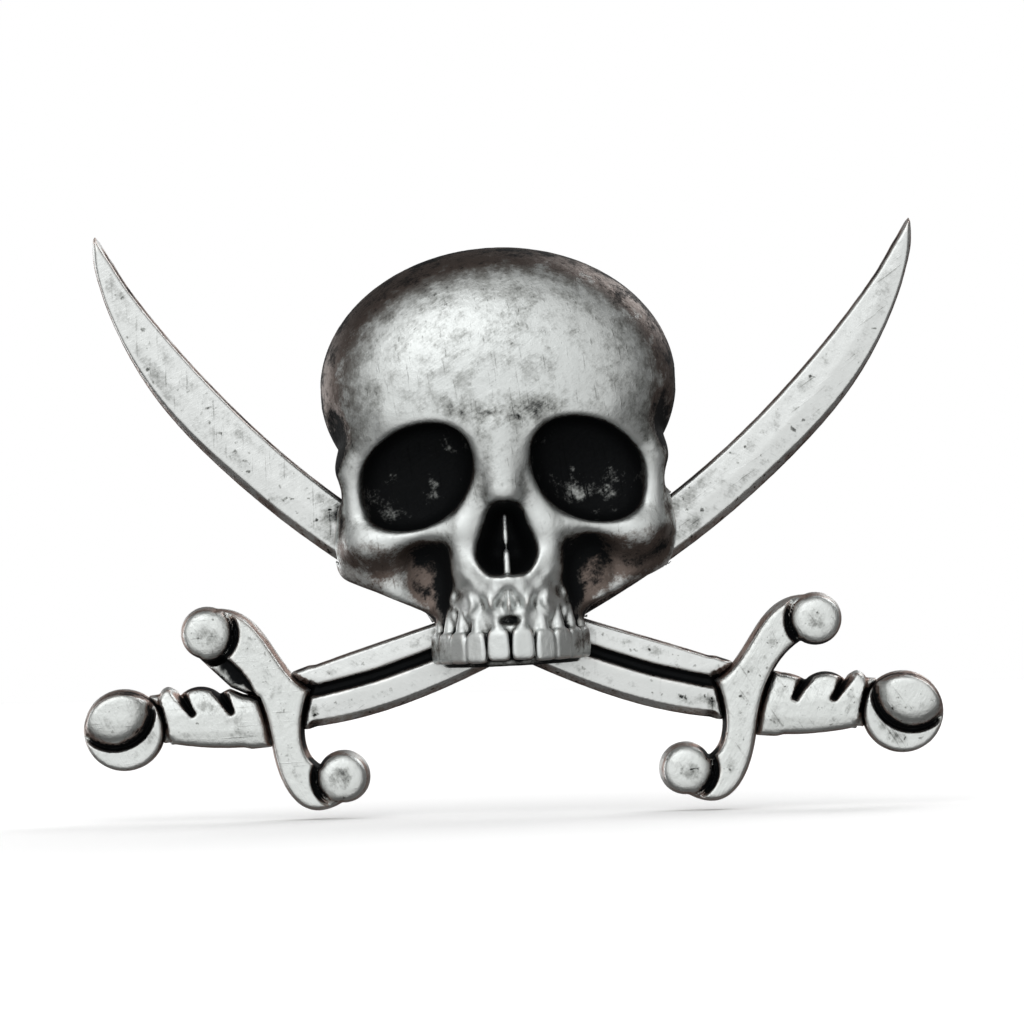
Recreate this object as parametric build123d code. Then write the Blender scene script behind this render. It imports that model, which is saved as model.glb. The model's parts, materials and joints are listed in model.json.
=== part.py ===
from build123d import *
import os

# Pin-back badge: a skull over two crossed cutlasses, cast in pewter.
#
# Row frame: +X to the viewer's right, +Z up, the face looks along -Y.
# The origin lies on the flat back face, on the centre line, level with the middle of the skull.
# The badge is drawn in a flat space of its own: x across, y up, z = depth in front of the back face.
# Plane.XZ puts that space into the row frame. Only the left-hand pieces are drawn, and the
# right-hand ones are their mirror images.

# ---- Driving dimensions, millimetres ----

# Backing plate
plate_thickness = 0.8
plate_inset = 0.4            # how far the plate's rim lies inside the skull's rim

# Skull
skull_lean = 1.5             # the crown leans to the left, degrees
cranium_half_width = 11.7
cranium_half_height = 9.1
cranium_centre_up = 4.45
cranium_depth = 9.0          # front of the forehead above the back face
brow_up = 2.9
brow_half_width = 8.6
brow_half_height = 2.6
brow_depth = 9.4
bridge_up = -1.5             # the bridge of the nose, between the eye sockets
bridge_half_width = 1.7
bridge_half_height = 3.2
bridge_depth = 9.0
face_half_width = 10.9
face_half_height = 7.0
face_centre_up = -3.2
face_depth = 7.5
cheek_out = 8.2
cheek_up = -5.6
cheek_half_width = 2.9
cheek_half_height = 2.6
cheek_depth = 6.8
cheek_corner = (10.9, -7.2)  # lower outer corner of the cheek
cheek_flange_depth = 4.4
cheek_flange_bottom_up = -10.0
bulge_seat = 0.7             # widest section of the rounded forms, in front of the plate
muzzle_half_width = 5.3
muzzle_depth = 8.2
muzzle_top_up = -5.0
teeth_bottom_up = -13.3
jaw_bottom_up = -13.9
jaw_inset = 0.7
orbit_out = 5.65
orbit_up = -1.15
orbit_half_width = 3.6
orbit_half_height = 3.35
orbit_floor = 3.6            # depth of the bottom of the eye socket
nose_up = -5.6
nose_half_width = 1.9
nose_half_height = 2.6
nose_floor = 4.8
tooth_pitch = 1.25
tooth_gap = 0.18
tooth_length = 2.3
tooth_gap_depth = 0.5

# Swords
blade_thickness = 2.0
fuller_width = 0.6
fuller_depth = 0.35
hilt_turn = 6.6              # slope of the hilt, degrees
hilt_middle = (-19.2, -16.2)
tang_length = 12.4
tang_width = 1.4
tang_thickness = 1.0
guard_height = 2.8           # thickness of the guard
upper_ball = (-19.85, -11.2)
upper_ball_radius = 1.75
lower_ball = (-11.15, -20.75)
lower_ball_radius = 1.75
ball_lift = 2.0              # centre of a guard ball above the plate
web_height = 1.2             # low web between the left guard's upper ball and the grip
grip_height = 2.2
finger_groove_width = 0.35
finger_groove_depth = 0.45
finger_groove_length = 2.2
finger_groove_lean = 35.0    # degrees
neck_middle = (-23.2, -16.75)
neck_length = 2.0
neck_width = 3.0             # the grip's neck, which runs up to the pommel
neck_height = 1.5
pommel_radius = 2.7
pommel_height = 1.8
pommel_centre = (-25.4, -17.4)
knob_radius = 2.3
knob_centre = (-26.0, -16.0)
knob_lift = 2.1              # centre of the knob above the plate

# Rivets
rivet_radius = 0.6
rivet_head_radius = 1.0
rivet_head_thickness = 0.35
rivet_depth = 4.0            # end of the shank above the back face
crossing_up = -11.9          # where the two blades cross, on the centre line
crossing_reach = (20.0, 12.0)  # width and height of the area in which the blades cross
cheek_rivet_out = 8.8
cheek_rivet_up = -6.1

# Posts
post_out = 5.7
post_up = 4.4
post_radius = 0.55
post_length = 8.0
post_shoulder_radius = 0.8
post_pad_radius = 1.6
post_pad_thickness = 0.3
post_groove_depth = 0.2
post_groove_width = 0.7
post_groove_pitch = 1.6
post_groove_count = 3
post_tip_length = 1.2
post_tip_radius = 0.12

# Butterfly clutches
lapel_gap = 2.2              # cloth between the back face and the clutch disc
disc_radius = 5.2
disc_thickness = 0.45
disc_rim_width = 0.5
disc_rim_height = 0.45
housing_wall = 0.35
housing_height = 3.2
housing_half_length = 3.3
housing_roof_half_length = 1.5
tab_half_length = 0.8
wall_corner_length = 2.4     # step down at both ends of each housing wall
wall_above_trunnion = 0.55
wing_thickness = 0.4
wing_jaw_width = 2.2
wing_ear_width = 4.4
wing_pivot = (2.3, 2.7)      # (behind the disc, away from the post)
wing_jaw_tip = (0.95, 0.3)
wing_jaw_bend = (1.05, 1.75)
wing_ear_tip = (6.2, 5.2)
trunnion_radius = 0.4
ear_start = 3.65             # distance from the post at which a lever becomes an ear

# Clearances
slot_clearance = 0.05        # castings on the blades and tangs
joint_gap = 0.04             # end faces that butt
rivet_clearance = 0.03
trunnion_clearance = 0.05
disc_hole_clearance = 0.1
jaw_clearance = 0.05
roof_hole_clearance = 0.25
wing_side_clearance = 0.12

# ---- Heights that follow from them ----
plate_front = plate_thickness
blade_front = plate_front + blade_thickness
lap_height = plate_front + blade_thickness / 2
channel_front = blade_front + slot_clearance
tang_low = plate_front + (blade_thickness - tang_thickness) / 2
badge_reach = 60.0           # larger than the badge in every direction
rivet_hole_radius = rivet_radius + rivet_clearance
wall_inside = wing_jaw_width / 2 + wing_side_clearance
wall_outside = wall_inside + housing_wall
wall_middle = (wall_inside + wall_outside) / 2
pivot_back = wing_pivot[0]
pivot_out = wing_pivot[1]
wall_end_height = pivot_back + trunnion_radius + wall_above_trunnion


# ---- Drawing helpers ----

def slab(face, low, high):
    """A flat outline made solid between two depths."""
    return extrude(Pos(0, 0, low) * face, high - low, dir=(0, 0, 1))


def largest(body):
    """The biggest solid of a body that a cut has divided."""
    return Part() + body.solids().sort_by(SortBy.VOLUME)[-1]


def egg(x, up, depth, half_width, half_height, half_depth):
    """An ellipsoid."""
    return Pos(x, up, depth) * scale(Sphere(1), by=(half_width, half_height, half_depth))


def in_front_of_plate(solid):
    """What is left of a solid in front of the backing plate."""
    keep = Box(2 * badge_reach, 2 * badge_reach, badge_reach, align=(Align.CENTER, Align.CENTER, Align.MIN))
    return solid & (Pos(0, 0, plate_front) * keep)


def pair(solid):
    """A left-hand solid and its mirror image."""
    return [solid, mirror(solid, Plane.YZ)]


def write(name, solid):
    """Move a solid from the badge's own space into the row frame and save it."""
    export_step(Plane.XZ * solid, os.path.join("parts", name + ".step"))


# ---- Sword outlines, left-hand hilt ----

def moved_curve(points, outwards):
    """A smooth curve through points that are moved to the right of its direction."""
    curve = Spline(*points)
    if outwards == 0:
        return curve
    moved = []
    for point in points:
        direction = curve.tangent_at(curve.param_at_point(point))
        moved.append(Vector(*point) + direction.rotate(Axis.Z, -90) * outwards)
    return Spline(*moved)


def closed_face(curves):
    """The face inside curves that follow each other, with straight lines over the gaps."""
    outline = curves[0]
    for before, after in zip(curves, curves[1:] + curves[:1]):
        if (before @ 1 - after @ 0).length > 0.001:
            outline = outline + Line(before @ 1, after @ 0)
        if after is not curves[0]:
            outline = outline + after
    return make_face(outline)


def blade_face(extra=0.0):
    """The blade of the sword whose hilt is on the left: shoulder at the guard, tip at upper right."""
    edge = moved_curve([(-15, -17.6), (-9, -16.75), (-4, -15.0), (3, -11.6), (12.3, -5.9), (18.6, -0.6),
                        (23, 4.4), (25.4, 8.8), (26.6, 12.9), (26.6, 14.9)], extra)
    back = moved_curve([(26.6, 14.9), (25, 12.3), (20, 5.9), (14, -0.1), (6, -5.9), (-2, -9.8),
                        (-9, -12.15), (-15, -14.2)], extra)
    return closed_face([edge, back])


def fuller_face():
    """The groove along the blade, from the guard to just short of the crossing."""
    middle = [(-13.8, -15.3), (-9, -14.2), (-5, -12.85), (-2, -11.6)]
    there = moved_curve(middle, fuller_width / 2)
    back = moved_curve(middle[::-1], fuller_width / 2)
    return closed_face([there, back])


def tang_face(extra=0.0):
    """The tang through guard, grip and pommel; extra widens it to the slot it sits in."""
    strip = Rectangle(tang_length + 2 * extra, tang_width + 2 * extra)
    return Pos(*hilt_middle) * Rot(0, 0, hilt_turn) * strip


def guard_face(extra=0.0):
    """The S-shaped guard; extra widens it for the pieces that butt against it."""
    rear = moved_curve([(-19.8, -12.2), (-17.1, -14.5), (-16.1, -17.2), (-15.5, -20.2), (-14.0, -22.6),
                        (-11.3, -22.5)], extra)
    lower_front = moved_curve([(-11.6, -20.2), (-13.2, -19.4), (-13.6, -17.2), (-13.1, -15.0)], extra)
    front = moved_curve([(-13.1, -15.0), (-14.9, -13.2), (-16.85, -10.5), (-19.4, -9.6)], extra)
    face = closed_face([rear, lower_front, front])
    for centre, radius in (upper_ball, upper_ball_radius), (lower_ball, lower_ball_radius):
        face = face + Pos(*centre) * Circle(radius + extra)
    return face


def web_face(extra=0.0):
    """The web that fills the corner between the left guard's upper ball and the grip."""
    corners = [(-21.3, -12.0), (-18.4, -14.8), (-16.6, -15.6), (-16.4, -13.5), (-18.8, -11.0)]
    face = make_face(Polyline(*corners, close=True))
    if extra:
        face = offset(face, extra)
    return face


def grip_face():
    """The grip: three finger swells along the top, a shallow belly below."""
    swells = (ThreePointArc((-23.0, -15.5), (-22.5, -14.75), (-21.7, -15.2))
              + ThreePointArc((-21.7, -15.2), (-20.4, -14.65), (-19.1, -15.15))
              + ThreePointArc((-19.1, -15.15), (-18.0, -14.7), (-15.0, -15.6)))
    end = Line((-15.0, -15.6), (-15.0, -18.5))
    belly = ThreePointArc((-15.0, -18.5), (-19.0, -18.75), (-22.3, -18.4))
    rear = Line((-22.3, -18.4), (-23.0, -15.5))
    return make_face(swells + end + belly + rear)


def pommel_face(extra=0.0):
    """The pommel's flat disc."""
    return Pos(*pommel_centre) * Circle(pommel_radius + extra)


# ---- Sword pieces ----

def sword_blade():
    """Blade and tang in one plate, cut back at the guard, with its fuller."""
    body = slab(blade_face() - guard_face(joint_gap), plate_front, blade_front)
    body = largest(body)
    tang = slab(tang_face(), tang_low, tang_low + tang_thickness)
    fuller = slab(fuller_face(), blade_front - fuller_depth, blade_front + 1)
    return body - fuller + tang


def lapped(solid, other, low, high):
    """A blade with the other blade's width taken out between two depths, where they cross."""
    near = Box(*crossing_reach, badge_reach)
    return solid - (slab(other, low, high) & (Pos(0, crossing_up, 0) * near))


def sword_guard(webbed):
    """The S-shaped guard with a ball at each end and a slot for the tang."""
    body = slab(guard_face(), plate_front, plate_front + guard_height)
    if webbed:
        body = body + slab(web_face(), plate_front, plate_front + web_height)
    for centre, radius in (upper_ball, upper_ball_radius), (lower_ball, lower_ball_radius):
        head = slab(Pos(*centre) * Circle(radius + slot_clearance), plate_front + ball_lift, badge_reach)
        body = body - head + Pos(*centre, plate_front + ball_lift) * Sphere(radius)
    return in_front_of_plate(body) - tang_slot()


def tang_slot():
    """The room that a tang needs."""
    face = tang_face(slot_clearance)
    return slab(face, tang_low - slot_clearance, tang_low + tang_thickness + slot_clearance)


def sword_grip(webbed):
    """The grip, slid over the tang between guard and pommel, with two finger grooves."""
    face = grip_face() - guard_face(joint_gap) - pommel_face(joint_gap)
    if webbed:
        face = face - web_face(joint_gap)
    body = slab(face, plate_front, plate_front + grip_height)
    body = largest(body)
    neck = Pos(*neck_middle) * Rot(0, 0, hilt_turn) * Rectangle(neck_length, neck_width)
    neck = neck - pommel_face(joint_gap) - grip_face()
    body = body + largest(slab(neck, plate_front, plate_front + neck_height))
    body = body - (Pos(*knob_centre, plate_front + knob_lift) * Sphere(knob_radius + joint_gap))
    for x, up in (-21.4, -15.6), (-18.9, -15.55):
        groove = Box(finger_groove_width, finger_groove_length, 2 * finger_groove_depth)
        body = body - (Pos(x, up, plate_front + grip_height) * Rot(0, 0, finger_groove_lean) * groove)
    return body - tang_slot()


def sword_pommel():
    """The pommel: a flat disc, a round knob on it and a blind socket for the tang."""
    disc = slab(pommel_face(), plate_front, plate_front + pommel_height)
    knob = Pos(*knob_centre, plate_front + knob_lift) * Sphere(knob_radius)
    return in_front_of_plate(disc + knob) - tang_slot()


# ---- Skull ----

def leaned(shape):
    """A skull-shaped piece turned about the middle of the jaw's edge."""
    return Pos(0, jaw_bottom_up, 0) * Rot(0, 0, skull_lean) * Pos(0, -jaw_bottom_up, 0) * shape


def skull_outline(inset):
    """The rim of the skull seen from the front, moved inwards."""
    rim = Pos(0, cranium_centre_up) * Ellipse(cranium_half_width - inset, cranium_half_height - inset)
    rim = rim + Pos(0, face_centre_up) * Ellipse(face_half_width - inset, face_half_height - inset)
    for side in -1, 1:
        cheek = Ellipse(cheek_half_width - inset, cheek_half_height - inset)
        rim = rim + Pos(side * cheek_out, cheek_up) * cheek
    jaw_height = face_centre_up - jaw_bottom_up - inset
    jaw = Rectangle(2 * (muzzle_half_width - jaw_inset - inset), jaw_height,
                    align=(Align.CENTER, Align.MAX))
    return rim + Pos(0, face_centre_up) * jaw


def muzzle(inset, bottom_up):
    """The upper jaw: half an elliptical column that stands on its biting edge."""
    ring = Ellipse(muzzle_half_width - inset, muzzle_depth - plate_front - inset)
    column = extrude(ring, muzzle_top_up - bottom_up)
    return Pos(0, muzzle_top_up, plate_front) * Rot(90, 0, 0) * column


def egg_on_plate(x, up, half_width, half_height, top):
    """A half ellipsoid whose widest section lies a little in front of the plate."""
    seat = plate_front + bulge_seat
    return egg(x, up, seat, half_width, half_height, top - seat)


def skull_mass():
    """The outside of the skull, with eye sockets, nose opening and teeth."""
    mass = egg_on_plate(0, cranium_centre_up, cranium_half_width, cranium_half_height, cranium_depth)
    mass = mass + egg_on_plate(0, face_centre_up, face_half_width, face_half_height, face_depth)
    mass = mass + egg_on_plate(0, brow_up, brow_half_width, brow_half_height, brow_depth)
    mass = mass + egg_on_plate(0, bridge_up, bridge_half_width, bridge_half_height, bridge_depth)
    for side in -1, 1:
        mass = mass + egg_on_plate(side * cheek_out, cheek_up, cheek_half_width, cheek_half_height,
                                   cheek_depth)
        flange = Polyline((0, face_centre_up), (side * cheek_corner[0], face_centre_up),
                          (side * cheek_corner[0], cheek_corner[1]),
                          (side * muzzle_half_width, cheek_flange_bottom_up),
                          (0, cheek_flange_bottom_up), close=True)
        mass = mass + slab(make_face(flange), plate_front, cheek_flange_depth)
    mass = mass + muzzle(0, teeth_bottom_up) + muzzle(jaw_inset, jaw_bottom_up)
    for side in -1, 1:
        mass = mass - egg(side * orbit_out, orbit_up, cranium_depth, orbit_half_width,
                          orbit_half_height, cranium_depth - orbit_floor)
    mass = mass - egg(0, nose_up, muzzle_depth, nose_half_width, nose_half_height,
                      muzzle_depth - nose_floor)
    for step in range(-3, 4):
        gap = Box(tooth_gap, 2 * tooth_length, badge_reach, align=(Align.CENTER, Align.CENTER, Align.MIN))
        x = step * tooth_pitch
        face_there = plate_front + (muzzle_depth - plate_front) * (1 - (x / muzzle_half_width) ** 2) ** 0.5
        mass = mass - Pos(x, teeth_bottom_up, face_there - tooth_gap_depth) * gap
    return in_front_of_plate(mass)


def rivet_places():
    """The three rivets: one through the crossing and one behind each cheek."""
    return [(0, crossing_up), (-cheek_rivet_out, cheek_rivet_up), (cheek_rivet_out, cheek_rivet_up)]


def drilled(solid, radius, top):
    """A solid with the rivet holes through it."""
    return solid - [slab(Pos(*place) * Circle(radius), -1, top) for place in rivet_places()]


def skull():
    """The skull casting, let in at the back for the two blades and the rivets."""
    body = leaned(skull_mass())
    channel = slab(blade_face(slot_clearance), plate_front - 1, channel_front)
    for side_channel in pair(channel):
        body = body - side_channel
    body = largest(body)
    return drilled(body, rivet_hole_radius, rivet_depth + joint_gap)


# ---- Back ----

def back_plate():
    """The backing plate, with seats for the rivet heads and the post pads."""
    outline = leaned(skull_outline(plate_inset))
    body = drilled(slab(outline, 0, plate_thickness), rivet_hole_radius, badge_reach)
    for place in rivet_places():
        seat = Circle(rivet_head_radius + rivet_clearance)
        body = body - slab(Pos(*place) * seat, -1, rivet_head_thickness + joint_gap)
    for side in -1, 1:
        spot = Pos(side * post_out, post_up)
        pad_seat = Circle(post_pad_radius + rivet_clearance)
        body = body - slab(spot * pad_seat, plate_thickness - post_pad_thickness - joint_gap,
                           plate_thickness + 1)
        body = body - slab(spot * Circle(post_shoulder_radius + rivet_clearance), -1, plate_thickness + 1)
    return body


def rivets():
    """Three flush rivets as one group."""
    group = []
    for place in rivet_places():
        head = slab(Pos(*place) * Circle(rivet_head_radius), 0, rivet_head_thickness)
        group.append(head + slab(Pos(*place) * Circle(rivet_radius), 0, rivet_depth))
    return Compound(children=group)


def post(side):
    """A pin post: pad behind the skull, shoulder through the plate, grooved shaft with a point."""
    half = [(0, plate_thickness), (post_pad_radius, plate_thickness),
            (post_pad_radius, plate_thickness - post_pad_thickness),
            (post_shoulder_radius, plate_thickness - post_pad_thickness),
            (post_shoulder_radius, 0), (post_radius, 0)]
    neck_radius = post_radius - post_groove_depth
    for ring in range(post_groove_count):
        top = -(lapel_gap + ring * post_groove_pitch)
        half += [(post_radius, top), (neck_radius, top - post_groove_depth),
                 (neck_radius, top - post_groove_width + post_groove_depth),
                 (post_radius, top - post_groove_width)]
    half += [(post_radius, post_tip_length - post_length), (post_tip_radius, -post_length),
             (0, -post_length)]
    profile = make_face(Polyline(*half, close=True))
    turned = revolve(Plane.XZ * profile, Axis.Z)
    return Pos(side * post_out, post_up, 0) * turned


# ---- Butterfly clutch: drawn about its own post, x across, y up, z = distance behind the disc ----

def clutch_disc():
    """The pressed disc with its rolled rim, a collar round the hole and slots for the tabs."""
    flat = Cylinder(disc_radius, disc_thickness, align=(Align.CENTER, Align.CENTER, Align.MAX))
    rim = Cylinder(disc_radius, disc_rim_height, align=(Align.CENTER, Align.CENTER, Align.MIN))
    rim = rim - Cylinder(disc_radius - disc_rim_width, 4 * disc_rim_height)
    body = flat + rim - Cylinder(post_radius + disc_hole_clearance, 4 * disc_thickness)
    for side in -1, 1:
        slot = Box(housing_wall + 2 * slot_clearance, 2 * (tab_half_length + slot_clearance),
                   4 * disc_thickness)
        body = body - Pos(side * wall_middle, 0, 0) * slot
    return body


def clutch_housing():
    """The bent strip over the wings: two walls, a roof and a tab on each wall through the disc."""
    body = Pos(0, 0, housing_height - housing_wall / 2) * Box(
        2 * wall_outside, 2 * housing_roof_half_length, housing_wall)
    for side in -1, 1:
        wall = Box(housing_wall, 2 * housing_half_length, housing_height,
                   align=(Align.CENTER, Align.CENTER, Align.MIN))
        tab = Box(housing_wall, 2 * tab_half_length, disc_thickness,
                  align=(Align.CENTER, Align.CENTER, Align.MAX))
        body = body + Pos(side * wall_middle, 0, 0) * (wall + tab)
        for end in -1, 1:
            cut = Box(4 * wall_outside, 2 * wall_corner_length, housing_height,
                      align=(Align.CENTER, Align.CENTER, Align.MIN))
            body = body - Pos(0, end * housing_half_length, wall_end_height) * cut
    pivot_hole = Rot(0, 90, 0) * Cylinder(trunnion_radius + trunnion_clearance, 4 * wall_outside)
    for end in -1, 1:
        body = body - Pos(0, end * pivot_out, pivot_back) * pivot_hole
    return body - Pos(0, 0, housing_height) * Cylinder(post_radius + roof_hole_clearance, 4 * housing_wall)


def clutch_wing():
    """The upper spring lever: jaw on the post, trunnions in the housing walls, ear to squeeze."""
    path = Polyline(wing_jaw_tip, wing_jaw_bend, wing_pivot, wing_ear_tip)
    strip = make_face(offset(path, wing_thickness / 2, side=Side.BOTH))
    lie = Plane((0, 0, 0), x_dir=(0, 0, 1), z_dir=(1, 0, 0))
    flipped = mirror(strip, Plane.XZ)
    lever = extrude(lie * flipped, wing_jaw_width / 2, both=True)
    ear = extrude(lie * flipped, wing_ear_width / 2, both=True)
    outer = Box(2 * wing_ear_width, badge_reach, badge_reach,
                align=(Align.CENTER, Align.MIN, Align.MIN))
    ear = ear & (Pos(0, ear_start, 0) * outer)
    body = lever + ear
    trunnion = Rot(0, 90, 0) * Cylinder(trunnion_radius, 2 * wall_outside)
    body = body + Pos(0, pivot_out, pivot_back) * trunnion
    return body - Cylinder(post_radius + jaw_clearance, badge_reach)


def write_clutch(name, side):
    """One clutch on its post: its own z axis points backwards, away from the badge."""
    disc_back = -(lapel_gap + disc_thickness)
    seat = Location((side * post_out, post_up, disc_back)) * Location((0, 0, 0), (0, 180, 0))
    wing = clutch_wing()
    write(name + "_disc", seat * clutch_disc())
    write(name + "_housing", seat * clutch_housing())
    write(name + "_wing_upper", seat * wing)
    write(name + "_wing_lower", seat * mirror(wing, Plane.XZ))


os.makedirs("parts", exist_ok=True)

blade = drilled(sword_blade(), rivet_hole_radius, badge_reach)
room = blade_face(slot_clearance)
under = lapped(blade, mirror(room, Plane.YZ), lap_height, badge_reach)
over = lapped(blade, mirror(room, Plane.YZ), -badge_reach, lap_height)
write("skull", skull())
write("back_plate", back_plate())
write("rivets", rivets())
write("blade_left", under)
write("blade_right", mirror(over, Plane.YZ))
write("guard_left", sword_guard(True))
write("guard_right", mirror(sword_guard(False), Plane.YZ))
write("grip_left", sword_grip(True))
write("grip_right", mirror(sword_grip(False), Plane.YZ))
for side_name, pommel in zip(("left", "right"), pair(sword_pommel())):
    write("pommel_" + side_name, pommel)
for side_name, side in ("left", -1), ("right", 1):
    write("post_" + side_name, post(side))
    write_clutch("clutch_" + side_name, side)
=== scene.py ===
import json
import math

import bmesh
import bpy
import numpy as np
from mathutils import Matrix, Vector
from mathutils.bvhtree import BVHTree

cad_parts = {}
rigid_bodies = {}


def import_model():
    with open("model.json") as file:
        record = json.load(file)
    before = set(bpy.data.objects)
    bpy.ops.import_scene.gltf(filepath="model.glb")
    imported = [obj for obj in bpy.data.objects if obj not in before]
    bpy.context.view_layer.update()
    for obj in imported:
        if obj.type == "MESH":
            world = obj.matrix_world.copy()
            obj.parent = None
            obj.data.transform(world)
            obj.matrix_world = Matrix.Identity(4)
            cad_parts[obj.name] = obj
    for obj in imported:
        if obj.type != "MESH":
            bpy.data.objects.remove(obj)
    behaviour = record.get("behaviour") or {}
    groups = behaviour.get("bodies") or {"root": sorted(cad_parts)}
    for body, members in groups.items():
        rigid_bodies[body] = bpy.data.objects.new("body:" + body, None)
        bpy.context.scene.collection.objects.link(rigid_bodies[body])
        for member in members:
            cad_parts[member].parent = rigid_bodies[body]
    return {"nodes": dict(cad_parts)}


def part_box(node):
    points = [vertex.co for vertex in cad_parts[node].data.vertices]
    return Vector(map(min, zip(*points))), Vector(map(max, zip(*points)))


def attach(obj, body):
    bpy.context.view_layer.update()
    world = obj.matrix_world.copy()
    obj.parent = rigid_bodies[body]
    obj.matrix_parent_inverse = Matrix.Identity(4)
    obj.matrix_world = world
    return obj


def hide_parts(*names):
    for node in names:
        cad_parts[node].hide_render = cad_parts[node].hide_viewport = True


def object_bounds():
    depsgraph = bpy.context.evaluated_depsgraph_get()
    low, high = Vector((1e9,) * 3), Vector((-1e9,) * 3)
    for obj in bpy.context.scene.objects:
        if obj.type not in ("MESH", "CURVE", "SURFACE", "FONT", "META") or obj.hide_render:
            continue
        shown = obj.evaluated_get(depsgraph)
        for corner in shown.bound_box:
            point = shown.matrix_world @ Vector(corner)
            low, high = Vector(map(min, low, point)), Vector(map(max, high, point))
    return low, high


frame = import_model()
cad_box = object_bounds()

# The cast pieces are carved as distance fields in millimetres: x across, u up, d = depth in
# front of the back face (row frame -Y). A net over each field gives its mesh.

MM = 0.001
PLATE_FRONT = -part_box("back_plate")[0][1] / MM      # depth at which the castings begin


# ---------------------------------------------------------------- camera, light and floor

CAMERA_TARGET = Vector((0.233, 0, -3.777)) * MM
CAMERA_DISTANCE = 0.45
CAMERA_ROLL = 1.4           # degrees
FACE_DEPTH = 0.003          # the plane in front of the target that fills the picture's width
PICTURE_WIDTH = 66.56       # mm across the picture at that plane
GLOW_TOWARD = (-0.14, -0.93, 0.30)      # where the metal sees the big soft light
FLOOR_GAP = 0.0005
FLOOR_SIZE = 0.6


def camera():
    """Level, straight at the face, from far enough away to keep the outlines parallel."""
    data = bpy.data.cameras.new("camera")
    eye = bpy.data.objects.new("camera", data)
    bpy.context.scene.collection.objects.link(eye)
    eye.location = CAMERA_TARGET + Vector((0, -CAMERA_DISTANCE, 0))
    eye.rotation_euler = (math.radians(90), math.radians(CAMERA_ROLL), 0)
    data.sensor_width = 36
    data.lens = data.sensor_width * (CAMERA_DISTANCE - FACE_DEPTH) / (PICTURE_WIDTH * MM)
    data.clip_start = 0.01
    bpy.context.scene.camera = eye


def area_light(name, place, size, power):
    """A square soft box aimed at the badge."""
    data = bpy.data.lights.new(name, "AREA")
    data.size = size
    data.energy = power
    lamp = bpy.data.objects.new(name, data)
    bpy.context.scene.collection.objects.link(lamp)
    lamp.location = place
    lamp.rotation_euler = (-Vector(place)).to_track_quat("-Z", "Y").to_euler()


def surroundings():
    """White paper all round for the eye and the floor, and a dark room with one big soft light
    in front of the badge for what the metal mirrors."""
    world = bpy.data.worlds.new("studio")
    world.use_nodes = True
    tree = world.node_tree
    background = tree.nodes["Background"]
    direction = tree.nodes.new("ShaderNodeTexCoord")
    toward = tree.nodes.new("ShaderNodeVectorMath")
    toward.operation = "DOT_PRODUCT"
    tree.links.new(direction.outputs["Generated"], toward.inputs[0])
    toward.inputs[1].default_value = Vector(GLOW_TOWARD).normalized()
    glow = tree.nodes.new("ShaderNodeValToRGB")
    glow.color_ramp.interpolation = "EASE"
    stops = glow.color_ramp.elements
    stops[0].position, stops[0].color = 0.0, (0.16, 0.15, 0.145, 1)
    stops[1].position, stops[1].color = 0.93, (1.0, 1.0, 0.99, 1)
    for position, level in (0.42, 0.08), (0.62, 0.27), (0.80, 0.86):
        stop = stops.new(position)
        stop.color = (level, level * 0.99, level * 0.97, 1)
    halved = tree.nodes.new("ShaderNodeMapRange")
    tree.links.new(toward.outputs["Value"], halved.inputs["Value"])
    halved.inputs["From Min"].default_value = -1
    tree.links.new(halved.outputs["Result"], glow.inputs["Fac"])
    path = tree.nodes.new("ShaderNodeLightPath")
    pick = tree.nodes.new("ShaderNodeMix")
    pick.data_type = "RGBA"
    tree.links.new(path.outputs["Is Glossy Ray"], pick.inputs[0])
    pick.inputs[6].default_value = (1, 1, 1, 1)
    tree.links.new(glow.outputs["Color"], pick.inputs[7])
    tree.links.new(pick.outputs[2], background.inputs["Color"])
    background.inputs["Strength"].default_value = 1.0
    return world


def studio():
    scene = bpy.context.scene
    scene.view_settings.view_transform = "Standard"
    scene.world = surroundings()
    area_light("key", (-0.14, -0.32, 0.22), 0.3, 0.3)
    area_light("back_key", (0.18, 0.26, 0.2), 0.2, 0.35)
    area_light("back_fill", (-0.22, 0.22, -0.01), 0.2, 0.25)
    bpy.ops.mesh.primitive_plane_add(size=FLOOR_SIZE, location=(0, 0, cad_box[0][2] - FLOOR_GAP))
    floor = bpy.context.object
    floor.name = "floor"
    floor.visible_glossy = False
    floor.data.materials.append(matt("floor_paper", (0.92, 0.92, 0.92)))


def matt(name, colour):
    """Plain paper for the floor."""
    material = bpy.data.materials.new(name)
    material.use_nodes = True
    shader = material.node_tree.nodes["Principled BSDF"]
    shader.inputs["Base Color"].default_value = (*colour, 1)
    shader.inputs["Roughness"].default_value = 0.9
    return material


# ---------------------------------------------------------------- fields

def soft_max(a, b, k):
    """The larger of two fields with the edge between them rounded by k."""
    h = np.clip(0.5 - 0.5 * (b - a) / k, 0, 1)
    return b + (a - b) * h + k * h * (1 - h)


def soft_min(a, b, k):
    """The smaller of two fields with the edge between them rounded by k."""
    return -soft_max(-a, -b, k)


def carve(field, tool, k):
    """The field with the tool's inside taken away."""
    return soft_max(field, -tool, k)


def box_blur(grid, reach):
    """The mean over a cube that reaches this many cells each way."""
    for axis in range(grid.ndim):
        padded = np.pad(grid, [(reach + 1, reach) if a == axis else (0, 0) for a in range(grid.ndim)],
                        mode="edge")
        total = np.cumsum(padded, axis=axis, dtype=np.float64)
        high = [slice(None)] * grid.ndim
        low = [slice(None)] * grid.ndim
        high[axis] = slice(2 * reach + 1, None)
        low[axis] = slice(None, -2 * reach - 1)
        grid = ((total[tuple(high)] - total[tuple(low)]) / (2 * reach + 1)).astype(np.float32)
    return grid


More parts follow.
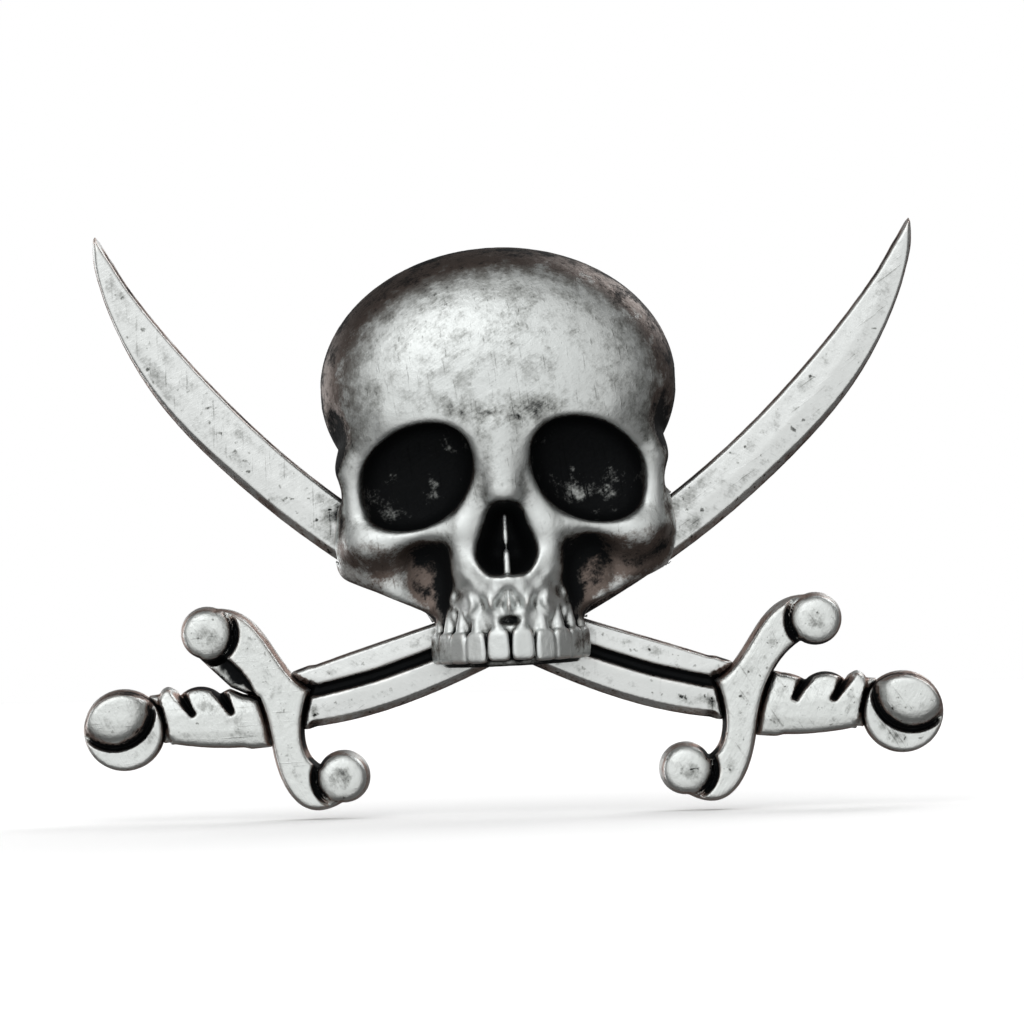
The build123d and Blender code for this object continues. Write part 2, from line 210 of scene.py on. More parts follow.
def sample(grid, places):
    """Trilinear values of a grid at cell coordinates."""
    base = np.clip(places.astype(int), 0, np.array(grid.shape) - 2)
    part = places - base
    value = 0
    for corner in np.ndindex(*(2,) * grid.ndim):
        weight = 1
        index = []
        for axis, step in enumerate(corner):
            weight = weight * (part[:, axis] if step else 1 - part[:, axis])
            index.append(base[:, axis] + step)
        value = value + weight * grid[tuple(index)]
    return value


def value_noise(places, pitch, seed):
    """Smooth noise from -1 to 1 at places in mm."""
    period = 31
    lattice = np.random.default_rng(seed).uniform(-1, 1, (period + 2,) * 3)
    return sample(lattice, (places / pitch) % period)


def net(field):
    """Vertices, in cells, and quads of the surface where the field is zero."""
    shape = np.array(field.shape)
    cells = shape - 1
    count = int(np.prod(cells))
    stride = np.array([cells[1] * cells[2], cells[2], 1])
    total = np.zeros((3, count))
    hits = np.zeros(count)
    crossings = []
    for axis in range(3):
        low = [slice(None)] * 3
        high = [slice(None)] * 3
        low[axis] = slice(None, -1)
        high[axis] = slice(1, None)
        a = field[tuple(low)]
        b = field[tuple(high)]
        where = np.argwhere((a < 0) != (b < 0))
        before = a[tuple(where.T)]
        after = b[tuple(where.T)]
        point = where.astype(float)
        point[:, axis] += before / (before - after)
        side, other = [n for n in range(3) if n != axis]
        keep = (where[:, side] > 0) & (where[:, other] > 0)
        keep &= (where[:, side] < cells[side]) & (where[:, other] < cells[other])
        where, point, before = where[keep], point[keep], before[keep]
        around = []
        for back_side, back_other in (0, 0), (1, 0), (1, 1), (0, 1):
            cell = where.copy()
            cell[:, side] -= back_side
            cell[:, other] -= back_other
            index = cell @ stride
            around.append(index)
            hits += np.bincount(index, minlength=count)
            for n in range(3):
                total[n] += np.bincount(index, weights=point[:, n], minlength=count)
        ring = np.stack(around, axis=1)
        flip = (before < 0) == (axis == 1)
        ring[flip] = ring[flip][:, ::-1]
        crossings.append(ring)
    used = hits > 0
    order = np.cumsum(used) - 1
    places = (total[:, used] / hits[used]).T
    return places, order[np.concatenate(crossings)]


def outline(node):
    """The rim of a node's flat back, as line segments in mm with their outward normals."""
    body = frame_mesh(node)
    segments = []
    outwards = []
    level = -PLATE_FRONT * MM
    flatness = 2e-6
    for edge in body.edges:
        ends = [v.co for v in edge.verts]
        if any(abs(co.y - level) > flatness for co in ends) or len(edge.link_faces) != 2:
            continue
        steep = [face for face in edge.link_faces if abs(face.normal.y) < 0.8]
        if len(steep) != 1:
            continue
        segments.append([(co.x / MM, co.z / MM) for co in ends])
        normal = Vector((steep[0].normal.x, steep[0].normal.z)).normalized()
        outwards.append(tuple(normal))
    body.free()
    return np.array(segments), np.array(outwards)


def frame_mesh(node):
    """A working copy of a CAD node's mesh, its vertices joined up."""
    body = bmesh.new()
    body.from_mesh(bpy.data.objects[frame_object(node)].data)
    bmesh.ops.remove_doubles(body, verts=body.verts, dist=1e-7)
    body.normal_update()
    return body


def frame_object(node):
    """The name of a CAD node's object."""
    found = frame["nodes"][node]
    return found if isinstance(found, str) else found.name


def flat_distance(segments, outwards, xs, us):
    """Signed distance from an outline on a grid, and the outward normal of the nearest segment."""
    gx, gu = np.meshgrid(xs, us, indexing="ij")
    best = np.full(gx.shape, 1e9)
    nearest = np.zeros(gx.shape, int)
    crossing = np.zeros(gx.shape, int)
    for n, ((ax, au), (bx, bu)) in enumerate(segments):
        ex, eu = bx - ax, bu - au
        t = np.clip(((gx - ax) * ex + (gu - au) * eu) / (ex * ex + eu * eu + 1e-12), 0, 1)
        gap = (gx - ax - t * ex) ** 2 + (gu - au - t * eu) ** 2
        closer = gap < best
        best[closer] = gap[closer]
        nearest[closer] = n
        if au != bu:
            spans = (gu > min(au, bu)) & (gu <= max(au, bu))
            crossing += spans & (gx < ax + (gu - au) * ex / eu)
    distance = np.sqrt(best)
    return np.where(crossing % 2 == 1, -distance, distance), outwards[nearest]


def front_heights(node, xs, us):
    """Depth of a node's front face over a grid, spread outwards past its rim."""
    body = frame_mesh(node)
    tree = BVHTree.FromBMesh(body)
    body.free()
    height = np.full((len(xs), len(us)), np.nan, np.float32)
    before_all = -0.05
    toward = Vector((0, 1, 0))
    for i, x in enumerate(xs):
        for j, u in enumerate(us):
            hit = tree.ray_cast(Vector((x * MM, before_all, u * MM)), toward)
            if hit[0] is not None:
                height[i, j] = -hit[0].y / MM
    spread = 8
    for _ in range(spread):
        hole = np.isnan(height)
        known = np.where(hole, 0, height)
        weight = box_blur((~hole).astype(np.float32), 1)
        mean = box_blur(known.astype(np.float32), 1)
        fill = hole & (weight > 0.01)
        height[fill] = (mean / np.maximum(weight, 0.01))[fill]
    return np.where(np.isnan(height), PLATE_FRONT, height)


def grid_axis(low, high, pitch):
    """Cell places from low to high with a margin at both ends."""
    margin = 4
    start = low - margin * pitch
    return start + pitch * np.arange(int((high - low) / pitch) + 2 * margin + 2)


FINE_CAVITY = 0.25          # reach in mm of the two measures of how hollow a place is
BROAD_CAVITY = 0.8
BACK_DIRT = 0.22            # even tarnish of the flat backs


def cast_mesh(name, field, xs, us, ds, pitch, grain, marks, turn=None):
    """The net of a field as an object, with its cavity values and a fine cast grain.

    grain is how deep the grain goes in mm, and marks gives the patina and the painted shade at each point."""
    places, quads = net(field)
    solid = (field < 0).astype(np.float32)
    fine = sample(box_blur(solid, max(1, round(FINE_CAVITY / pitch))), places)
    broad = sample(box_blur(solid, max(2, round(BROAD_CAVITY / pitch))), places)
    start = np.array([xs[0], us[0], ds[0]])
    points = start + places * pitch
    slope = np.stack([sample(np.gradient(field, axis=n).astype(np.float32), places) for n in range(3)], 1)
    slope /= np.linalg.norm(slope, axis=1, keepdims=True) + 1e-9
    bumps = (value_noise(points, 0.9, 1) * 0.5 + value_noise(points, 0.35, 2) * 0.35
             + value_noise(points, 0.17, 3) * 0.15)
    points = points - slope * ((np.abs(bumps) * grain)[:, None])
    layers = {"fine": fine, "broad": broad}
    layers.update(marks(points))
    back = np.clip((PLATE_FRONT + 0.3 - points[:, 2]) / 0.25, 0, 1)
    layers["dirt"] = layers["dirt"] * (1 - back) + BACK_DIRT * back
    if turn:
        points = turn(points)
    return mesh_object(name, points, quads, layers)


def mesh_object(name, points, quads, layers):
    """A smooth object from points in mm and quads, with a value per point for each layer."""
    data = bpy.data.meshes.new(name)
    data.vertices.add(len(points))
    row = np.stack([points[:, 0], -points[:, 2], points[:, 1]], 1) * MM
    data.vertices.foreach_set("co", row.ravel())
    data.loops.add(quads.size)
    data.loops.foreach_set("vertex_index", quads.ravel().astype(np.int32))
    data.polygons.add(len(quads))
    data.polygons.foreach_set("loop_start", np.arange(0, quads.size, 4, dtype=np.int32))
    data.update(calc_edges=True)
    data.validate()
    data.polygons.foreach_set("use_smooth", np.ones(len(data.polygons), bool))
    for key, values in layers.items():
        layer = data.attributes.new(key, "FLOAT", "POINT")
        layer.data.foreach_set("value", values.astype(np.float32))
    piece = bpy.data.objects.new(name, data)
    bpy.context.scene.collection.objects.link(piece)
    return piece


# ---------------------------------------------------------------- materials

class Shader:
    """A short hand for building one Principled material from nodes."""

    def __init__(self, name):
        self.material = bpy.data.materials.new(name)
        self.material.use_nodes = True
        self.tree = self.material.node_tree
        self.out = self.tree.nodes["Principled BSDF"]

    def node(self, kind, **settings):
        made = self.tree.nodes.new(kind)
        for key, value in settings.items():
            setattr(made, key, value)
        return made

    def plug(self, socket, value):
        if isinstance(value, bpy.types.NodeSocket):
            self.tree.links.new(value, socket)
        else:
            socket.default_value = value

    def math(self, operation, a, b=0.0, clamp=False):
        made = self.node("ShaderNodeMath", operation=operation, use_clamp=clamp)
        self.plug(made.inputs[0], a)
        self.plug(made.inputs[1], b)
        return made.outputs[0]

    def ramp(self, value, low, high, to_low=0.0, to_high=1.0):
        made = self.node("ShaderNodeMapRange", interpolation_type="SMOOTHSTEP")
        for n, item in enumerate((value, low, high, to_low, to_high)):
            self.plug(made.inputs[n], item)
        return made.outputs[0]

    def mix(self, factor, a, b):
        made = self.node("ShaderNodeMix", data_type="RGBA")
        self.plug(made.inputs[0], factor)
        self.plug(made.inputs[6], a if isinstance(a, bpy.types.NodeSocket) else (*a, 1))
        self.plug(made.inputs[7], b if isinstance(b, bpy.types.NodeSocket) else (*b, 1))
        return made.outputs[2]

    def place(self):
        return self.node("ShaderNodeTexCoord").outputs["Object"]

    def stretched(self, turn, scale):
        """Object coordinates turned about Y and then scaled, per metre."""
        turned = self.node("ShaderNodeVectorRotate", rotation_type="AXIS_ANGLE")
        turned.inputs["Axis"].default_value = (0, 1, 0)
        turned.inputs["Angle"].default_value = math.radians(turn)
        self.plug(turned.inputs["Vector"], self.place())
        scaled = self.node("ShaderNodeVectorMath", operation="MULTIPLY")
        self.plug(scaled.inputs[0], turned.outputs[0])
        scaled.inputs[1].default_value = scale
        return scaled.outputs[0]

    def noise(self, vector, scale, detail=3.0, roughness=0.55):
        made = self.node("ShaderNodeTexNoise")
        self.plug(made.inputs["Vector"], vector)
        made.inputs["Scale"].default_value = scale
        made.inputs["Detail"].default_value = detail
        made.inputs["Roughness"].default_value = roughness
        return made.outputs["Fac"]

    def attribute(self, name):
        return self.node("ShaderNodeAttribute", attribute_name=name).outputs["Fac"]

    def bump(self, height, distance, strength=1.0, base=None):
        made = self.node("ShaderNodeBump")
        made.inputs["Strength"].default_value = strength
        made.inputs["Distance"].default_value = distance
        self.plug(made.inputs["Height"], height)
        if base is not None:
            self.plug(made.inputs["Normal"], base)
        return made.outputs[0]


def scratches(s, turn):
    """Fine file marks along a direction, with thin bright peaks across them."""
    long_marks = s.noise(s.stretched(turn, (0.12, 1, 1)), 9000, 4, 0.6)
    cross_marks = s.noise(s.stretched(turn + 63, (0.05, 1, 1)), 5200, 2, 0.5)
    thin = s.ramp(cross_marks, 0.62, 0.72)
    return s.math("ADD", long_marks, s.math("MULTIPLY", thin, 0.5))


BLADE_SILVER = (0.70, 0.72, 0.715)
HILT_SILVER = (0.70, 0.725, 0.715)
SKULL_SILVER = (0.65, 0.675, 0.67)
COPPER = (0.36, 0.25, 0.21)         # bare metal under the silver on rubbed rims
UMBER = (0.145, 0.116, 0.102)       # brown of the skull's steep walls and of the painted shade on its rim and cheeks
GREY_TARNISH = (0.30, 0.31, 0.30)
BLACK_PATINA = (0.014, 0.015, 0.016)
RUBBED_SILVER = (0.80, 0.80, 0.78)
RUBBED_COPPER = (0.62, 0.44, 0.37)


def antique(name, bright, turn, rim_tone, spotted, mark_depth):
    """Antiqued silver: black in the recesses, brown on steep walls, rubbed bright on top, and darkened by
    the painted shade that a piece carries in its patina layer.

    turn is the direction of the file marks in degrees, rim_tone the colour of the steep walls,
    spotted how strong the black spots are and mark_depth how deep marks and pits go."""
    s = Shader(name)
    facing = s.node("ShaderNodeSeparateXYZ")
    s.plug(facing.inputs[0], s.node("ShaderNodeNewGeometry").outputs["Normal"])
    front = s.math("ABSOLUTE", facing.outputs["Y"])
    patch = s.noise(s.place(), 330, 4, 0.6)
    blotch = s.noise(s.place(), 1000, 5, 0.65)
    speck = s.noise(s.place(), 5200, 3, 0.6)
    hollow = s.math("ADD", s.math("MULTIPLY", s.math("SUBTRACT", s.attribute("fine"), 0.5), 2.6),
                    s.math("MULTIPLY", s.math("SUBTRACT", s.attribute("broad"), 0.5), 3.0))
    spots = s.math("MULTIPLY", s.ramp(s.noise(s.place(), 1900, 2, 0.5), 0.63, 0.75), spotted)
    uneven = s.math("ADD", s.math("MULTIPLY", s.math("SUBTRACT", blotch, 0.46), 1.7), spots)
    drift = s.math("MULTIPLY", s.math("SUBTRACT", patch, 0.5), 1.1)
    grains = s.math("MULTIPLY", s.math("SUBTRACT", speck, 0.5), 0.6)
    steep = s.math("MULTIPLY", s.math("SUBTRACT", 1.0, front, clamp=True), 0.85)
    marks = scratches(s, turn)
    steep = s.math("ADD", steep, s.math("MULTIPLY", s.math("SUBTRACT", marks, 0.55), 0.45))
    tarnish = s.math("ADD", s.math("ADD", hollow, uneven), s.math("ADD", grains, steep))
    # the per-point layer added here holds patina and painted shade
    tarnish = s.math("ADD", tarnish, s.math("ADD", s.attribute("dirt"), drift))
    light_cover = s.ramp(tarnish, -0.15, 0.6)
    # the brown layer is patina on the hilts and brown-tinted painted shade on the skull
    brown = s.attribute("brown")
    deep_cover = s.ramp(s.math("SUBTRACT", tarnish, s.math("MULTIPLY", brown, 0.38)), 0.38, 1.0)
    warm = s.math("MULTIPLY", s.ramp(front, 0.80, 0.30), s.ramp(blotch, 0.30, 0.55))
    warm = s.math("ADD", warm, brown, clamp=True)
    mid = s.mix(warm, GREY_TARNISH, rim_tone)
    colour = s.mix(light_cover, bright, mid)
    colour = s.mix(deep_cover, colour, BLACK_PATINA)
    clean = s.ramp(s.attribute("dirt"), 0.3, 0.02)
    rub = s.math("MULTIPLY", s.ramp(s.attribute("fine"), 0.42, 0.30), clean)
    edge = s.mix(s.ramp(front, 0.85, 0.45), RUBBED_SILVER, RUBBED_COPPER)
    colour = s.mix(s.math("MULTIPLY", rub, 0.6), colour, edge)
    s.plug(s.out.inputs["Base Color"], colour)
    s.out.inputs["Metallic"].default_value = 1.0
    rough = s.math("ADD", s.math("MULTIPLY", deep_cover, 0.30), s.math("MULTIPLY", marks, 0.16))
    rough = s.math("ADD", rough, s.math("ADD", s.math("MULTIPLY", speck, 0.14), 0.28))
    s.plug(s.out.inputs["Roughness"], rough)
    worn = s.math("SUBTRACT", 1.0, deep_cover)
    height = s.math("MULTIPLY", marks, worn)
    pits = s.ramp(speck, 0.34, 0.22)
    height = s.math("SUBTRACT", height, s.math("MULTIPLY", pits, 1.2))
    coarse = s.bump(blotch, 0.00005 * mark_depth, 0.8)
    s.plug(s.out.inputs["Normal"], s.bump(height, 0.000012 * mark_depth, 0.8, coarse))
    return s.material


def plated(name, colour, mark_scale, roughness, turn=0.0, tarnish=0.15):
    """Nickel plate on pressed metal: drawing lines, small stains and a soft mottle."""
    s = Shader(name)
    lines = s.noise(s.stretched(turn, (0.08, 1, 1)), mark_scale, 3, 0.55)
    stain = s.noise(s.place(), 1100, 4, 0.6)
    dust = s.noise(s.place(), 6500, 2, 0.5)
    shade = s.math("ADD", s.math("MULTIPLY", s.ramp(stain, 0.45, 0.75), tarnish),
                   s.math("MULTIPLY", s.ramp(dust, 0.6, 0.8), 0.3 * tarnish))
    dark = tuple(0.45 * c for c in colour[:2]) + (0.36 * colour[2],)
    s.plug(s.out.inputs["Base Color"], s.mix(shade, colour, dark))
    s.out.inputs["Metallic"].default_value = 1.0
    rough = s.math("ADD", s.math("MULTIPLY", lines, 0.2), s.math("MULTIPLY", shade, 0.3))
    s.plug(s.out.inputs["Roughness"], s.math("ADD", rough, roughness - 0.1))
    s.plug(s.out.inputs["Normal"], s.bump(lines, 0.000008, 0.6))
    return s.material


# ---------------------------------------------------------------- hilts and blades

RELIEF_GRAIN = 0.02         # mm


def relief_piece(node, pitch, rounding, draft, shape, marks):
    """A sculpted copy of a flat-backed node: its own outline and heights, softened and detailed.

    rounding is the radius of the front edge and draft the slope of the cast side walls."""
    low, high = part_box(node)
    xs = grid_axis(low[0] / MM, high[0] / MM, pitch)
    us = grid_axis(low[2] / MM, high[2] / MM, pitch)
    ds = grid_axis(PLATE_FRONT, -low[1] / MM, pitch)
    segments, outwards = outline(node)
    rim, facing = flat_distance(segments, outwards, xs, us)
    height = box_blur(front_heights(node, xs, us), 1)
    gx, gu = np.meshgrid(xs, us, indexing="ij")
    height, rim = shape(gx, gu, height, rim, facing)
    depth = ds[None, None, :]
    wall = rim[:, :, None] + draft * (depth - PLATE_FRONT)
    field = soft_max(depth - height[:, :, None], wall, rounding)
    field = soft_max(field, PLATE_FRONT - depth, 0.05)
    piece = cast_mesh(node + "_cast", field.astype(np.float32), xs, us, ds, pitch, RELIEF_GRAIN, marks)
    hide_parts(node)
    return piece


def finish(piece, body, material):
    """Give a cast its material and the body that it rides."""
    piece.data.materials.append(material)
    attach(piece, body)


FULLER = ((14.2, -15.4), (9.0, -14.2), (5.0, -12.85), (2.0, -11.6))    # its middle line, |x| and u


def fuller_gap(x, u):
    """Distance from the middle of the blade's groove."""
    gap = 1e3
    for (ax, au), (bx, bu) in zip(FULLER, FULLER[1:]):
        t = np.clip(((np.abs(x) - ax) * (bx - ax) + (u - au) * (bu - au))
                    / ((bx - ax) ** 2 + (bu - au) ** 2), 0, 1)
        gap = np.minimum(gap, np.hypot(np.abs(x) - ax - t * (bx - ax), u - au - t * (bu - au)))
    return gap


CROWN_UP = 4.45                     # height of the crown's middle
CROWN_RADII = (11.7, 9.1)


def crown_reach(x, u):
    """1 on the crown's outline, less inside it."""
    return np.hypot(x / CROWN_RADII[0], (u - CROWN_UP) / CROWN_RADII[1])


def blade_patina_and_shade(points):
    """Patina in the groove, and painted shade beside the guard and in a band round the skull where the
    blades run under it.
    """
    x, u = points[:, 0], points[:, 1]
    crown = crown_reach(x, u)
    face = np.hypot(x / 10.9, (u + 3.2) / 7.0)
    jaw = np.hypot(x / 5.2, (u + 9.0) / 5.0)
    gap = np.minimum(np.minimum(crown, face), jaw) - 1
    patchy = 0.75 + 0.5 * value_noise(points, 0.8, 7)
    # painted shade in a band round the skull's outline, where it stands over the blades
    dirt = 0.95 * np.clip(1 - gap / 0.22, 0, 1) * patchy - 0.05
    before_guard = np.clip(14.5 - np.abs(x), 0, 1)
    dirt = np.maximum(dirt, 1.4 * np.clip(1.5 - fuller_gap(x, u) / 0.3, 0, 1) * before_guard)
    # painted shade on the blade beside the guard
    guard = np.abs(np.abs(x) - 13.3 - 0.25 * (u + 16)) / 0.5
    dirt = np.maximum(dirt, np.clip(1.4 - guard, 0, 1) * (u < -12.5) * patchy)
    return {"dirt": dirt}


def blade_shape(side):
    """Cutting edge ground to a bevel, a soft back edge and a slightly crowned flat."""
    def shape(gx, gu, height, rim, facing):
        cutting = np.clip((-side * facing[..., 0] * 0.62 - facing[..., 1] * 0.78) * 3, 0, 1)
        inside = -rim
        cutting = cutting * (1 - 0.75 * np.clip((gu + 1) / 9, 0, 1))
        bevel_width = 0.12 + 0.38 * cutting
        drop = np.clip(1 - inside / bevel_width, 0, 1) * (0.2 + 0.6 * cutting)
        crown = 0.12 * np.clip(inside / 1.7, 0, 1)
        low = (gu < -11.4) & (side * gx > 0)
        groove = 0.3 * np.clip(1.5 - fuller_gap(gx, gu) / 0.32, 0, 1) * low
        at_guard = 0.12 * np.clip((np.abs(gx) - 12.8) / 0.5, 0, 1) * (gu < -12.0) * (np.abs(gx) < 16)
        tip = 0.09 * np.clip((gu - 11.5) / 1.5, 0, 1) * np.clip((14.85 - gu) / 0.3, 0, 1)
        return height - 0.12 + crown - drop - groove, rim - at_guard - tip
    return shape


GUARD_BALLS = ((19.85, -11.2), (11.15, -20.75))     # |x| and u of their middles
BALL_RADIUS = 1.75


def guard_shape(side):
    """Balls with flat, bright tops that stand clear of the arm."""
    def shape(gx, gu, height, rim, facing):
        for x, u in GUARD_BALLS:
            near = np.hypot(gx - side * x, gu - u) / BALL_RADIUS
            top = PLATE_FRONT + 1.8 + 1.1 * (1 - np.clip(near, 0, 1) ** 4.5) ** 0.5
            height = np.where(near < 1, top, height)
            ring = np.clip(1 - np.abs(near - 1.12) / 0.14, 0, 1)
            height = height - 0.9 * ring
        return height, rim
    return shape


FINGER_GAPS = (((20.95, -16.35), (21.75, -14.9)),   # foot and mouth of each, |x| and u
               ((18.35, -16.2), (19.1, -14.9)))


def grip_shape(side):
    """Three knuckles along the top edge with deep gaps that open upwards."""
    def shape(gx, gu, height, rim, facing):
        x = side * gx
        for foot, mouth in FINGER_GAPS:
            along = np.array(mouth) - np.array(foot)
            t = np.clip(((x - foot[0]) * along[0] + (gu - foot[1]) * along[1]) / (along @ along), 0, 1)
            near = np.hypot(x - foot[0] - t * along[0], gu - foot[1] - t * along[1])
            height = height - 1.1 * np.clip(1.25 - near / (0.16 + 0.3 * t), 0, 1)
        belly = np.clip(0.16 * np.cos((gu + 17.0) * 1.3) - 0.12, -0.3, 0)
        ends = np.maximum(np.clip((17.6 - x) / 0.5, 0, 1), np.clip((x - 22.1) / 0.4, 0, 1))
        return height + belly, rim - 0.13 * ends
    return shape


KNOB = (26.0, -16.0)
KNOB_RADIUS = 2.3


def pommel_shape(side):
    """A broad flat-topped knob over a bright disc."""
    def shape(gx, gu, height, rim, facing):
        near = np.hypot(gx - side * KNOB[0], gu - KNOB[1]) / KNOB_RADIUS
        top = 2.5 + 1.7 * (1 - np.clip(near, 0, 1) ** 5) ** 0.5
        height = np.where(near < 1, top, height)
        return height - 0.5 * np.clip(1 - np.abs(near - 1.1) / 0.12, 0, 1), rim
    return shape


def low_patina_and_shade(top, places):
    """Patina below a hilt's worn top, brown, turning black with painted shade near the places where pieces
    meet.
    """
    def marks(points):
        below = np.clip((top - points[:, 2]) / 0.6, 0, 1)
        x, u = np.abs(points[:, 0]), points[:, 1]
        # painted shade near the places where the pieces meet
        joint_shade = np.zeros(len(points))
        for px, pu, reach in places:
            joint_shade = np.maximum(joint_shade, np.clip(1.6 - np.hypot(x - px, u - pu) / reach, 0, 1))
        uneven = 0.8 + 0.4 * value_noise(points, 0.7, 5)
        clouds = value_noise(points, 1.0, 8) + 0.5 * value_noise(points, 0.4, 3)
        mottle = 0.45 * np.clip(clouds + 0.15, 0, 1)
        dirt = below * (1.7 * joint_shade - 0.4) * uneven + (1 - below) * mottle
        return {"dirt": dirt, "brown": 1.2 * below * (1 - joint_shade)}
    return marks


# For each hilt part: edge rounding, shape, height of its worn top, and where it meets others and takes
# painted shade, as |x|, u and reach.
HILT = {
    "guard": (0.3, guard_shape, 3.1, ((18.8, -13.9, 2.4), (13.2, -17.0, 1.6), (12.4, -20.3, 1.0))),
    "grip": (0.4, grip_shape, 2.6, ((17.3, -16.0, 1.3), (23.4, -16.5, 1.0), (20.0, -14.8, 1.4))),
    "pommel": (0.3, pommel_shape, 2.2, ((23.8, -17.0, 1.6),)),
}
BLADE_PITCH = 0.1
HILT_PITCH = 0.085
SIDES = (("left", -1), ("right", 1))


def build_swords():
    silvers = [antique("antique_blade_" + name, BLADE_SILVER, side * 28, COPPER, 0.7, 1.0)
               for name, side in SIDES]
    hilts = [antique("antique_hilt_" + name, HILT_SILVER, side * 60, COPPER, 0.8, 2.2)
             for name, side in SIDES]
    for (name, side), silver, hilt in zip(SIDES, silvers, hilts):
        blade = relief_piece("blade_" + name, BLADE_PITCH, 0.1, 0.08, blade_shape(side), blade_patina_and_shade)
        finish(blade, "badge", silver)
        for part, (rounding, shape, top, places) in HILT.items():
            piece = relief_piece(f"{part}_{name}", HILT_PITCH, rounding, 0.1, shape(side),
                                 low_patina_and_shade(top, places))
            finish(piece, "badge", hilt)


# ---------------------------------------------------------------- skull

def egg(x, u, d, centre, radii):
    """An ellipsoid's field, close to a true distance near its surface."""
    parts = [(axis - c) / r for axis, c, r in zip((x, u, d), centre, radii)]
    reach = np.sqrt(parts[0] ** 2 + parts[1] ** 2 + parts[2] ** 2)
    slope = np.sqrt((parts[0] / radii[0]) ** 2 + (parts[1] / radii[1]) ** 2 + (parts[2] / radii[2]) ** 2)
    return reach * (reach - 1) / (slope + 1e-6)


def rod(x, u, d, a, b, radius, tip=None):
    """A rounded bar from a to b, thinning to the tip radius."""
    a, b = np.array(a, float), np.array(b, float)
    along = b - a
    t = ((x - a[0]) * along[0] + (u - a[1]) * along[1] + (d - a[2]) * along[2]) / (along @ along)
    t = np.clip(t, 0, 1)
    gap = np.sqrt((x - a[0] - t * along[0]) ** 2 + (u - a[1] - t * along[1]) ** 2
                  + (d - a[2] - t * along[2]) ** 2)
    return gap - (radius + ((radius if tip is None else tip) - radius) * t)


def dome(x, u, d, centre, radii):
    """An egg with a flatter front and fuller shoulders."""
    flat = ((x - centre[0]) / radii[0]) ** 2 + ((u - centre[1]) / radii[1]) ** 2
    reach = (flat ** 1.3 + np.abs((d - centre[2]) / radii[2]) ** 2.2) ** (1 / 2.4)
    return (reach - 1) * 6.0


SEAT = PLATE_FRONT + 0.7    # depth of the middles of the crown, face and cheek
JAW_DEPTH = 7.0             # how far the jaw and the tooth row stand out before the plate
TOOTH_ROW_HALF = 5.4        # half width of the tooth row's arc


def skull_field(x, u, d):
    """The right half of the skull, x from 0 outwards."""
    mass = dome(x, u, d, (0, CROWN_UP, SEAT), (11.6, 9.05, 7.3))
    mass = soft_min(mass, egg(x, u, d, (0, -2.6, SEAT), (10.3, 6.2, 5.4)), 0.8)
    mass = hollowed(add_jaw(add_bones(mass, x, u, d), x, u, d), x, u, d)
    # knobs and pits over the tooth roots
    band = np.clip(1.3 - np.abs(u + 9.4) / 1.8, 0, 1) * np.clip((d - 4.5) / 1.5, 0, 1)
    mass = mass + 0.13 * band * knobs(x, u)
    notch = egg(x, u, d, (0, -10.75, 8.0), (0.8, 0.38, 0.8))
    return carve(soft_min(mass, teeth(x, u, d), 0.12), notch, 0.2)


def add_bones(mass, x, u, d):
    """Brow, outer rim of the eye socket, broad cheekbone and its flange."""
    mass = soft_min(mass, rod(x, u, d, (1.6, 2.0, 7.0), (6.6, 2.9, 6.1), 1.1, 1.0), 1.3)
    mass = soft_min(mass, rod(x, u, d, (6.6, 2.9, 6.0), (9.75, -0.2, 4.0), 1.0, 0.9), 1.0)
    mass = soft_min(mass, rod(x, u, d, (9.6, -0.2, 4.0), (9.5, -5.0, 3.9), 0.85, 0.9), 1.2)
    mass = soft_min(mass, egg(x, u, d, (8.3, -5.3, SEAT), (2.75, 2.3, 4.2)), 0.8)
    mass = soft_min(mass, rod(x, u, d, (8.8, -5.3, 4.4), (2.9, -4.7, 6.5), 0.75, 0.75), 1.4)
    flange = soft_max(x - 10.9, 0.428 * x - 0.904 * u - 11.4, 0.6)
    flange = soft_max(soft_max(flange, u + 3.0, 0.5), d - 4.6 + 0.09 * (x - 6.5) ** 2 * (x > 6.5), 0.8)
    return soft_min(mass, flange, 1.3)


def add_jaw(mass, x, u, d):
    """Nose bridge and the upper jaw, a column with a rounded front."""
    mass = soft_min(mass, rod(x, u, d, (0, 1.6, 6.9), (0, -2.2, 7.4), 1.9, 1.35), 0.8)
    mass = soft_min(mass, rod(x, u, d, (1.5, -2.0, 6.6), (3.1, -7.4, 6.1), 0.9, 1.1), 0.9)
    arch = np.hypot(x / 5.15, (d - PLATE_FRONT) / JAW_DEPTH)
    flare = 1 + 0.02 * (u + 10)
    column = (arch - flare) * 5.0
    column = soft_max(column, -13.7 - u, 0.3)
    column = soft_max(column, u + 6.2, 1.2)
    return soft_min(mass, column, 0.8)


def hollowed(mass, x, u, d):
    """The mass less the temple, the hollow under the cheekbone, the eye socket and the nose."""
    mass = carve(mass, egg(x, u, d, (12.0, 1.4, 6.4), (1.9, 3.0, 3.6)), 0.6)
    under = egg(x, u, d, (5.3, -8.0, 7.2), (1.7, 2.4, 3.8))
    mass = carve(mass, soft_max(under, 3.9 - d, 0.8), 1.3)
    wide = np.abs(x - 5.55 + 0.14 * (u + 1.2)) / 3.6
    tall = np.abs(u + 1.25 + 0.10 * (x - 5.55)) / 3.35
    socket = ((wide ** 2.15 + tall ** 2.15) ** (1 / 2.15) - 1) * 3.2
    mass = carve(mass, soft_max(socket, 3.0 - d + 0.05 * (x - 5.85) ** 2, 1.6), 0.45)
    nose = egg(x, u, d, (0.55, -6.3, 8.6), (1.5, 1.65, 4.4))
    nose = soft_min(nose, egg(x, u, d, (0.2, -4.9, 8.6), (1.3, 1.9, 4.2)), 0.8)
    nose = carve(nose, rod(x, u, d, (0, -4.0, 5.6), (0, -8.1, 6.9), 0.17, 0.26), 0.15)
    return carve(mass, nose, 0.3)


